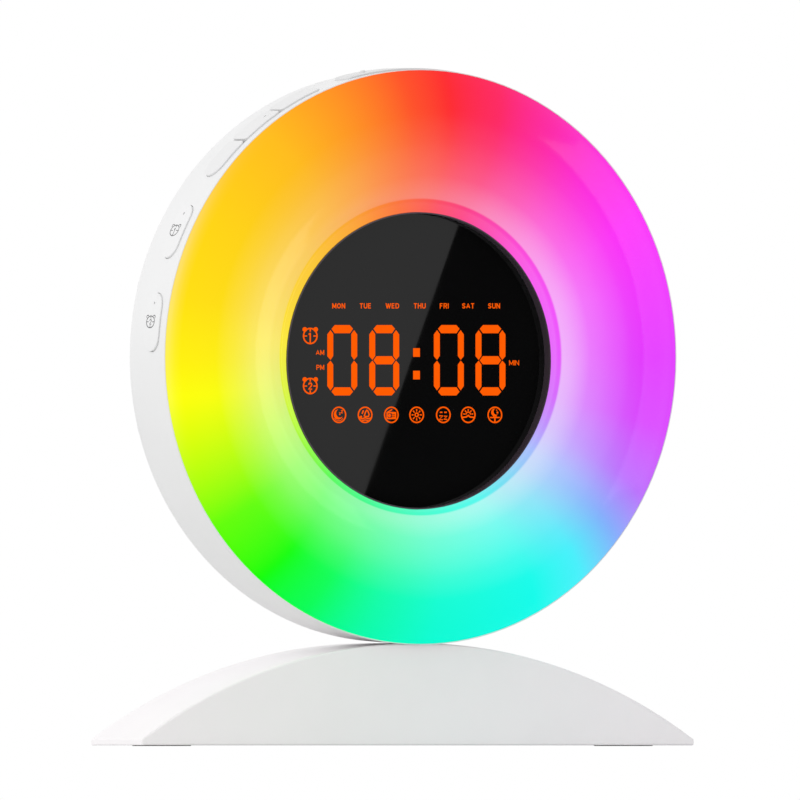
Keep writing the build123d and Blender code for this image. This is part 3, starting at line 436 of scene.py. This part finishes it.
# Each capital's width for its height, and its strokes in a square from 0 to 1. A straight stroke's
# end reaches half a line past the square.
LOW = -0.12
HIGH = 1.12
STEM = [(0.0, LOW), (0.0, HIGH)]
RIGHT_STEM = [(1.0, LOW), (1.0, HIGH)]
BOWL = [(0.0, 1.0), (0.62, 1.0), (0.93, 0.9), (1.0, 0.75), (0.93, 0.58), (0.62, 0.47), (0.0, 0.47)]
LETTERS = {
    "A": (0.85, [[(0.0, 0.0), (0.5, 1.0), (1.0, 0.0)], [(0.18, 0.3), (0.82, 0.3)]]),
    "D": (0.75, [STEM, [(0.0, 1.0), (0.55, 1.0), (0.88, 0.85), (1.0, 0.5), (0.88, 0.15), (0.55, 0.0),
                        (0.0, 0.0)]]),
    "E": (0.62, [[(1.0, 1.0), (0.0, 1.0), (0.0, 0.0), (1.0, 0.0)], [(0.0, 0.52), (0.9, 0.52)]]),
    "F": (0.6, [[(1.0, 1.0), (0.0, 1.0), (0.0, LOW)], [(0.0, 0.5), (0.88, 0.5)]]),
    "H": (0.72, [STEM, RIGHT_STEM, [(0.0, 0.52), (1.0, 0.52)]]),
    "I": (0.0, [STEM]),
    "M": (0.85, [STEM, RIGHT_STEM, [(0.0, 1.05), (0.5, 0.1)], [(0.5, 0.1), (1.0, 1.05)]]),
    "N": (0.72, [STEM, RIGHT_STEM, [(0.0, 1.05), (1.0, -0.05)]]),
    "O": (0.82, [[(0.5, 1.0), (0.83, 0.88), (1.0, 0.5), (0.83, 0.12), (0.5, 0.0), (0.17, 0.12),
                  (0.0, 0.5), (0.17, 0.88), (0.5, 1.0)]]),
    "P": (0.68, [STEM, BOWL]),
    "R": (0.72, [STEM, BOWL, [(0.5, 0.47), (1.0, LOW)]]),
    "S": (0.68, [[(0.95, 0.8), (0.75, 0.97), (0.5, 1.0), (0.2, 0.95), (0.05, 0.75), (0.2, 0.58),
                  (0.8, 0.42), (0.97, 0.24), (0.8, 0.05), (0.5, 0.0), (0.2, 0.04), (0.02, 0.22)]]),
    "T": (0.7, [[(-0.05, 1.0), (1.05, 1.0)], [(0.5, 1.0), (0.5, LOW)]]),
    "U": (0.74, [[(0.0, HIGH), (0.0, 0.3), (0.15, 0.06), (0.5, -0.02), (0.85, 0.06), (1.0, 0.3),
                  (1.0, HIGH)]]),
    "W": (1.2, [[(0.0, HIGH), (0.27, -0.1)], [(0.27, -0.1), (0.5, 1.05)], [(0.5, 1.05), (0.73, -0.1)],
                [(0.73, -0.1), (1.0, HIGH)]]),
    "Z": (0.7, [[(-0.1, 1.0), (1.1, 1.0)], [(1.0, 1.0), (0.0, 0.0)], [(-0.1, 0.0), (1.1, 0.0)]]),
}
LETTER_SPACE = 1.75     # between two letters' strokes, in line widths
MITRE_LIMIT = 0.3
DOT_STEPS = 24
CRESCENT_STEPS = 20


class Drawing:
    """Collects flat shapes in millimetres round its centre, and sets them on a surface as thin
    raised pieces."""

    def __init__(self):
        self.centre = (0.0, 0.0)
        self.points = []
        self.faces = []

    def add(self, points):
        """Keeps the points, and returns the number of the first."""
        start = len(self.points)
        self.points += [(self.centre[0] + x, self.centre[1] + y) for x, y in points]
        return start

    def polygon(self, points):
        start = self.add(points)
        self.faces.append(tuple(range(start, len(self.points))))

    def band(self, pairs, closed=False):
        """A strip between two lines, given as pairs of points across it."""
        start = self.add([point for pair in pairs for point in pair])
        count = len(pairs)
        for place in range(count if closed else count - 1):
            a = start + 2 * place
            b = start + 2 * ((place + 1) % count)
            self.faces.append((a, a + 1, b + 1, b))

    def stroke(self, points, width, closed=False):
        """A line of even width through the points, mitred at its corners."""
        count = len(points)
        pairs = []
        for place, (x, y) in enumerate(points):
            before = points[(place - 1) % count] if closed or place else None
            after = points[(place + 1) % count] if closed or place < count - 1 else None
            normals = []
            for a, b in ((before, (x, y)), ((x, y), after)):
                if a is None or b is None:
                    continue
                length = sqrt((b[0] - a[0]) ** 2 + (b[1] - a[1]) ** 2)
                normals.append(((a[1] - b[1]) / length, (b[0] - a[0]) / length))
            nx = sum(n[0] for n in normals) / len(normals)
            ny = sum(n[1] for n in normals) / len(normals)
            half = width / 2 / max(nx * nx + ny * ny, MITRE_LIMIT)
            pairs.append(((x + nx * half, y + ny * half), (x - nx * half, y - ny * half)))
        self.band(pairs, closed)

    def ellipse(self, x, y, rx, ry, width, start=0, end=360, steps=40):
        whole = end - start >= 360
        angles = [radians(start + (end - start) * k / steps) for k in range(steps if whole else steps + 1)]
        self.stroke([(x + rx * cos(a), y + ry * sin(a)) for a in angles], width, closed=whole)

    def dot(self, x, y, rx, ry=None):
        ry = ry or rx
        turns = [2 * pi * k / DOT_STEPS for k in range(DOT_STEPS)]
        self.polygon([(x + rx * cos(a), y + ry * sin(a)) for a in turns])

    def crescent(self, x, y, r, bite_x, bite_y, bite_r):
        """A moon: a disc less a bite, as a strip between two arcs."""
        gap = sqrt(bite_x ** 2 + bite_y ** 2)
        along = (r * r - bite_r * bite_r + gap * gap) / (2 * gap)
        rise = sqrt(max(r * r - along * along, 0))
        ux, uy = bite_x / gap, bite_y / gap
        horns = [(along * ux - side * uy, along * uy + side * ux) for side in (rise, -rise)]

        def arc(cx, cy, radius):
            """Points from the first horn to the second, anticlockwise round a centre."""
            first, last = (atan2(hy - cy, hx - cx) for hx, hy in horns)
            if last < first:
                last += 2 * pi
            turns = [first + (last - first) * k / CRESCENT_STEPS for k in range(CRESCENT_STEPS + 1)]
            return [(x + cx + radius * cos(a), y + cy + radius * sin(a)) for a in turns]

        self.band(list(zip(arc(0, 0, r), arc(bite_x, bite_y, bite_r))))

    def text(self, words, x, y, height, line, stretch=1.0):
        """Words centred on a point, in capitals of a height, from the strokes of LETTERS."""
        tall = height - line
        space = line * LETTER_SPACE
        widths = [LETTERS[letter][0] * tall * stretch for letter in words]
        at = x - (sum(widths) + space * (len(words) - 1)) / 2
        for letter, wide in zip(words, widths):
            for points in LETTERS[letter][1]:
                self.stroke([(at + u * wide, y + (v - 0.5) * tall) for u, v in points], line)
            at += wide + space

    def build(self, name, material, body, place, lift):
        """One mesh; place(x, y, height) gives a point in space, and lift is the pieces' thickness."""
        under = [place(x, y, 0) for x, y in self.points]
        over = [place(x, y, lift) for x, y in self.points]
        count = len(self.points)
        faces = []
        edges = {}
        for face in self.faces:
            faces.append(tuple(count + index for index in face))
            faces.append(tuple(reversed(face)))
            edges.update(dict.fromkeys(zip(face, face[1:] + face[:1])))
        for a, b in edges:
            shared = (b, a) in edges
            if not shared:
                faces.append((a, b, count + b, count + a))
        mesh = bpy.data.meshes.new(name)
        mesh.from_pydata([tuple(point) for point in under + over], [], faces)
        work = bmesh.new()
        work.from_mesh(mesh)
        bmesh.ops.recalc_face_normals(work, faces=work.faces)
        work.to_mesh(mesh)
        work.free()
        mesh.materials.append(material)
        thing = bpy.data.objects.new(name, mesh)
        bpy.context.scene.collection.objects.link(thing)
        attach(thing, body)


SIGN_CLEARANCE = 0.01       # from the face that carries a sign to the sign
SIGN_LIFT = 0.04


def on_window(x, y, height):
    return lamp_point(x, y, WINDOW_DEPTH - SIGN_CLEARANCE - height)


# Digits of seven pointed segments
DIGIT_PLACES = (-23.82, -9.82, 11.73, 25.63)
DIGITS_Y = -0.95
DIGIT_WIDTH = 9.97
DIGIT_HEIGHT = 20.9
STROKE_FLAT = 2.43
STROKE_TALL = 1.97
SEGMENT_GAP = 0.22
FLAT_TIP = (1.4, 1.12)          # a level segment's tip, in from the digit's side and from its top
FLAT_SHOULDER = 1.1             # from that tip to the segment's straight edge
FLAT_INNER = 0.45               # from an upright segment to the level one's inner corner
TALL_TIP = (1.05, 1.5)          # an upright segment's tip, in from the digit's side and from its top
TALL_SHOULDER = 2.8             # where its outer edge starts, from the top
TALL_FOOT = 1.2                 # where its outer edge ends, from the digit's middle
TALL_INNER_FOOT = 1.3

COLON_X = 0.95
COLON_HEIGHTS = (2.3, -4.4)
COLON_DOT = (1.12, 1.28)        # half its width and half its height


def symmetric(points):
    """A right half and its mirror image."""
    return points + [(-x, y) for x, y in reversed(points)]


def digit(drawing, middle_bar):
    """An eight, or a nought without its middle bar, of hexagonal segments."""
    w = DIGIT_WIDTH / 2
    h = DIGIT_HEIGHT / 2
    tip = w - FLAT_TIP[0]
    inner_corner = w - STROKE_TALL - FLAT_INNER
    for side in (-1, 1):
        drawing.polygon(symmetric([
            (tip - FLAT_SHOULDER, side * h), (tip, side * (h - FLAT_TIP[1])),
            (inner_corner, side * (h - STROKE_FLAT)),
        ]))
        for edge in (-1, 1):
            outer = edge * w
            inner = edge * (w - STROKE_TALL)
            tall_tip = edge * (w - TALL_TIP[0])
            drawing.polygon([
                (tall_tip, side * (h - TALL_TIP[1])), (outer, side * (h - TALL_SHOULDER)),
                (outer, side * TALL_FOOT), (tall_tip, side * SEGMENT_GAP / 2),
                (inner, side * TALL_INNER_FOOT), (inner, side * (h - STROKE_FLAT - SEGMENT_GAP)),
            ])
    if middle_bar:
        half = STROKE_FLAT / 2
        drawing.polygon(symmetric([(inner_corner, half), (tip, 0), (inner_corner, -half)]))


digits = Drawing()
for x, middle_bar in zip(DIGIT_PLACES, (False, True, False, True)):
    digits.centre = (x, DIGITS_Y)
    digit(digits, middle_bar)
for y in COLON_HEIGHTS:
    digits.centre = (COLON_X, DIGITS_Y + y)
    digits.polygon(symmetric([(COLON_DOT[0], -COLON_DOT[1]), COLON_DOT]))
digits.build("display_digits", display_orange, "clock", on_window, SIGN_LIFT)

# Words over and beside the digits, each with its place, height, line width and stretch
DAYS_Y = 15.19
DAYS = (("MON", -25.0), ("TUE", -16.1), ("WED", -7.1), ("THU", 2.0), ("FRI", 10.2), ("SAT", 18.2),
        ("SUN", 26.8))
words = Drawing()
for day, x in DAYS:
    words.text(day, x, DAYS_Y, 1.56, 0.28)
words.text("AM", -31.25, 1.35, 1.45, 0.24, 1.05)
words.text("PM", -31.15, -3.05, 1.45, 0.24, 1.05)
words.text("MIN", 33.5, -1.7, 1.45, 0.22, 1.2)
words.build("display_words", display_orange, "clock", on_window, SIGN_LIFT)


def alarm_sign(drawing, number, width, scale_x=1.0, scale_y=1.0, solid_bells=True):
    """Twin-bell alarm clock with a number on its dial, 5 mm across unless scaled."""
    def at(x, y):
        return (x * scale_x, y * scale_y)

    drawing.ellipse(0, 0, *at(2.25, 2.25), width)
    for side in (-1, 1):
        bell = at(side * 1.83, 1.95)
        if solid_bells:
            drawing.dot(*bell, *at(0.76, 0.7))
        else:
            start = -15 - 45 * side
            drawing.ellipse(*bell, *at(0.62, 0.56), width * 0.9, start, start + 210)
        drawing.stroke([at(side * 2.1, 0), at(side * 1.05, 0)], width * 0.8)
    drawing.stroke([at(0, 2.1), at(0, 1.3)], width)
    drawing.stroke([at(0, -2.1), at(0, -1.25)], width)
    if number == "1":
        drawing.stroke([at(0, 0.95), at(0, -1.3)], width)
        drawing.stroke([at(-0.55, 0.42), at(0, 0.8)], width * 0.9)
    else:
        drawing.stroke([at(-0.55, 0.42), at(-0.3, 0.85), at(0.25, 0.85), at(0.5, 0.45), at(0.3, -0.05),
                        at(-0.5, -0.9), at(0.6, -0.9)], width * 0.95)


def sleeping_moon(sign):
    """Moon with two small sleep letters, over a cloud line."""
    sign.crescent(-0.2, 0.12, 1.5, 0.55, 0.36, 1.27)
    sign.text("Z", 0.32, 0.35, 0.75, 0.2)
    sign.text("Z", 1.02, 0.95, 0.95, 0.22)
    sign.ellipse(-0.05, 0.1, 1.75, 1.85, 0.2, 215, 325, 14)


def bird(sign):
    """Bird over the ground."""
    sign.stroke([(-1.0, 0.32), (-0.56, 1.35)], 0.42)
    sign.stroke([(-0.33, -0.45), (0.14, 0.85), (0.55, 1.38), (0.95, 1.1), (1.32, 0.15), (1.12, -0.5),
                 (-0.2, -0.5)], 0.4)
    sign.stroke([(-2.0, -0.62), (-1.1, -1.2), (0, -0.86), (1.1, -1.15), (2.0, -0.9)], 0.38)
    sign.stroke([(-1.05, -1.75), (0, -1.5), (1.1, -1.75)], 0.34)
    sign.dot(-1.35, -0.6, 0.36)


def radio(sign):
    """Radio with a dial, a grille and a slanted aerial."""
    sign.stroke([(-1.4, -1.05), (1.42, -1.05), (1.42, 0.66), (-1.4, 0.66)], 0.44, closed=True)
    sign.dot(-0.62, -0.2, 0.5)
    for k in range(3):
        y = 0.28 - 0.46 * k
        sign.stroke([(0.16, y), (1.25, y)], 0.3)
    sign.stroke([(-1.25, 0.8), (0.3, 1.6)], 0.34)


def sun(sign):
    """Sun with eight rays that widen outwards."""
    sign.ellipse(0, 0, 0.53, 0.53, 0.4, steps=24)
    for k in range(8):
        a = radians(45 * k)
        ray = ((0.95, -0.12), (1.68, -0.25), (1.68, 0.25), (0.95, 0.12))
        sign.polygon([(r * cos(a) - side * sin(a), r * sin(a) + side * cos(a)) for r, side in ray])


def sleeping_face(sign):
    """Two shut eyes over two sleep letters."""
    for side in (-1, 1):
        sign.stroke([(side * 1.15, 0.76), (side * 0.32, 0.76)], 0.4)
    for x, half_wide, half_tall in ((-0.78, 0.575, 0.575), (0.72, 0.5, 0.475)):
        left = x - half_wide
        far = x + half_wide
        top = -0.86 + half_tall
        low = -0.86 - half_tall
        sign.stroke([(left, top), (far, top), (left, low), (far, low)], 0.36)


def sunrise(sign):
    """Sun rising behind a peak."""
    sign.ellipse(0, 0.05, 0.78, 0.78, 0.36, 0, 180, 14)
    for k in range(5):
        a = radians(10 + 40 * k)
        sign.stroke([(r * cos(a), 0.02 + r * sin(a)) for r in (1.12, 1.68)], 0.38)
    sign.stroke([(-1.95, -0.75), (-0.65, -0.62), (0, -0.15), (0.65, -0.62), (1.95, -0.75)], 0.44)


def night_tree(sign):
    """Moon and stars over a tree."""
    sign.crescent(-0.1, 0.72, 1.15, 0.55, 0.25, 0.9)
    sign.dot(0.6, 1.4, 0.2)
    sign.dot(0.85, 0.7, 0.32)
    sign.stroke([(-1.6, -0.78), (1.6, -0.78)], 0.38)
    sign.stroke([(-0.55, -0.35), (0, -0.8), (0.55, -0.35)], 0.34)
    sign.stroke([(0, -0.8), (0, -2.1)], 0.46)


SIGNS_Y = -17.15
SIGN_RADIUS = 2.26
SIGN_LINE = 0.42
ALARM_X = -34.5
ALARM_LINE = 0.44
ROW = ((-24.95, sleeping_moon), (-16.2, bird), (-7.45, radio), (1.0, sun), (9.9, sleeping_face),
       (18.2, sunrise), (27.1, night_tree))
signs = Drawing()
for number, y in (("1", 6.25), ("2", -8.6)):
    signs.centre = (ALARM_X, y)
    alarm_sign(signs, number, ALARM_LINE)
for x, draw in ROW:
    signs.centre = (x, SIGNS_Y)
    signs.ellipse(0, 0, SIGN_RADIUS, SIGN_RADIUS, SIGN_LINE)
    draw(signs)
signs.build("display_signs", display_orange, "clock", on_window, SIGN_LIFT)


# ---- Signs printed on the buttons ----------------------------------------------------------------

ALARM_1_ANGLE = 154.0
ALARM_2_ANGLE = 173.0
RADIO_ANGLE = 26.0
SLEEP_ANGLE = 7.0
PRINT_LIFT = 0.02
PRINT_LINE = 0.26
PRINT_SET_BACK = 0.9        # behind the middle of the button


def print_on_button(drawing, key, angle):
    """Sets a drawing on a button's curved top, with its up pointing along the wall, upwards."""
    upwards = 1 if cos(radians(angle)) > 0 else -1

    def place(x, y, height):
        turn = radians(angle) + upwards * y / BUTTON_TOP
        radius = BUTTON_TOP + SIGN_CLEARANCE + height
        depth = BUTTON_DEPTH + PRINT_SET_BACK + upwards * x
        return lamp_point(radius * cos(turn), radius * sin(turn), depth)

    drawing.build(key + "_sign", printed_grey, key + "_key", place, PRINT_LIFT)


for key, angle, number in (("alarm_1", ALARM_1_ANGLE, "1"), ("alarm_2", ALARM_2_ANGLE, "2")):
    alarm_print = Drawing()
    alarm_sign(alarm_print, number, PRINT_LINE, 1.12, 0.78, solid_bells=False)
    print_on_button(alarm_print, key, angle)

radio_print = Drawing()
radio_print.stroke([(-2.1, -1.35), (2.1, -1.35), (2.1, 0.95), (-2.1, 0.95)], PRINT_LINE, closed=True)
radio_print.ellipse(-0.95, -0.2, 0.7, 0.7, PRINT_LINE)
for k in range(3):
    y = 0.35 - 0.55 * k
    radio_print.stroke([(0.3, y), (1.55, y)], PRINT_LINE * 0.8)
radio_print.stroke([(-1.7, 1.05), (0.6, 1.95)], PRINT_LINE)
print_on_button(radio_print, "radio", RADIO_ANGLE)

sleep_print = Drawing()
sleep_print.crescent(-0.35, -0.1, 1.75, 0.8, 0.35, 1.4)
sleep_print.text("Z", 0.85, 0.5, 0.8, 0.18)
sleep_print.text("Z", 1.75, 1.3, 1.0, 0.2)
print_on_button(sleep_print, "sleep", SLEEP_ANGLE)


# ---- Smooth shading ------------------------------------------------------------------------------

SHARP_ANGLE = 28
for thing in nodes.values():
    for face in thing.data.polygons:
        face.use_smooth = True
    thing.data.set_sharp_from_angle(angle=radians(SHARP_ANGLE))


# ---- Floor, world and light ----------------------------------------------------------------------

# Places and sizes in metres
FLOOR_HALF = 4.0
WORLD_LIGHT = 0.81
LAMP_PLACE = Vector((-1.3, -0.2, 0.85))
LAMP_TARGET = Vector((0, 0, 0.08))
LAMP_SIZE = 1.2
LAMP_WATTS = 6.3


def flat_piece(name, corner, across, up, material):
    """A stage piece with four corners, from its first one and two sides."""
    corners = [corner, corner + across, corner + across + up, corner + up]
    mesh = bpy.data.meshes.new(name)
    mesh.from_pydata([tuple(point) for point in corners], [], [(0, 1, 2, 3)])
    mesh.materials.append(material)
    thing = bpy.data.objects.new(name, mesh)
    bpy.context.scene.collection.objects.link(thing)
    return thing


def matt(name, colour):
    t = material_tree(name)
    t.shader("ShaderNodeBsdfPrincipled", Roughness=0.9, Base_Color=colour, Specular_IOR_Level=0.0)
    return t.owner


flat_piece("floor", Vector((-FLOOR_HALF, -FLOOR_HALF, 0)), Vector((2 * FLOOR_HALF, 0, 0)),
           Vector((0, 2 * FLOOR_HALF, 0)), matt("floor_pale", (0.86, 0.86, 0.86)))

# The world is plain white where it is seen, directly or in a reflection, and lights a little less
world = bpy.data.worlds.new("studio")
bpy.context.scene.world = world
t = Tree(world, "ShaderNodeOutputWorld")
seen = t.shader("ShaderNodeBackground", Color=(1.0, 1.0, 1.0), Strength=1.0)
lighting = t.shader("ShaderNodeBackground", Color=(1.0, 1.0, 1.0), Strength=WORLD_LIGHT)
rays = t.node("ShaderNodeLightPath").outputs
mirrored = t.math("MAXIMUM", rays["Is Glossy Ray"], rays["Is Transmission Ray"])
mix = t.node("ShaderNodeMixShader")
for socket, value in zip(mix.inputs, (t.math("MAXIMUM", rays["Is Camera Ray"], mirrored), lighting, seen)):
    t.put(value, socket)
t.put(mix.outputs[0], t.surface)

lamp_data = bpy.data.lights.new("lamp_left", "AREA")
lamp_data.shape = "SQUARE"
lamp_data.size = LAMP_SIZE
lamp_data.energy = LAMP_WATTS
lamp = bpy.data.objects.new("lamp_left", lamp_data)
bpy.context.scene.collection.objects.link(lamp)
lamp.location = LAMP_PLACE
lamp.rotation_euler = (LAMP_TARGET - LAMP_PLACE).to_track_quat("-Z", "Y").to_euler()


# ---- Cards that are seen only in reflections -----------------------------------------------------

# The dark card fills the display's window on the right, up to a slanted line across it, whose ends
# are given in the lamp's millimetres
LINE_TOP = (14.9, 39.2)
LINE_LOW = (-16.8, -41.8)
LINE_SPARE = 1.3            # times the line's length
DARK_AWAY = 0.6
DARK_WIDTH = 0.16

# The bright card stands close by on the right and makes the gloss of the ring, the only piece it
# lights, because the window would mirror it when seen from the left front
BRIGHT_CORNER = Vector((0.289, -0.225, 0.005))
BRIGHT_ACROSS = Vector((0.046, 0.346, 0))
BRIGHT_UP = Vector((0, 0, 0.33))
BRIGHT_GLOW = 9.5
BRIGHT_GRADE = [(0.0, 1.0), (0.47, 0.42), (0.8, 0.09), (1.0, 0.07)]     # from its front end to its back


def card(name, corner, across, up, material):
    thing = flat_piece(name, corner, across, up, material)
    thing.visible_camera = False
    thing.visible_diffuse = False
    thing.visible_shadow = False
    thing.visible_transmission = False
    return thing


def graded_glow():
    t = material_tree("card_bright")
    along = t.parts(t.node("ShaderNodeTexCoord").outputs["Generated"])["Y"]
    grade = t.ramp(along, [(at, (share,) * 3) for at, share in BRIGHT_GRADE])
    t.shader("ShaderNodeEmission", Color=grade, Strength=BRIGHT_GLOW)
    return t.owner


line_top = lamp_point(*LINE_TOP, WINDOW_DEPTH)
line_low = lamp_point(*LINE_LOW, WINDOW_DEPTH)
line = (line_top - line_low) * LINE_SPARE
reflected_view = Vector((-to_camera.x, to_camera.y, 0))
dark_edge = (line_top + line_low) / 2 + reflected_view * DARK_AWAY
dark = matt("card_dark", (0.0, 0.0, 0.0))
card("dark_card", dark_edge - line / 2, Vector((DARK_WIDTH, 0, 0)), line, dark)

bright_card = card("bright_card", BRIGHT_CORNER, BRIGHT_ACROSS, BRIGHT_UP, graded_glow())
ring_alone = bpy.data.collections.new("ring_alone")
ring_alone.objects.link(nodes["diffuser_ring"])
bright_card.light_linking.receiver_collection = ring_alone


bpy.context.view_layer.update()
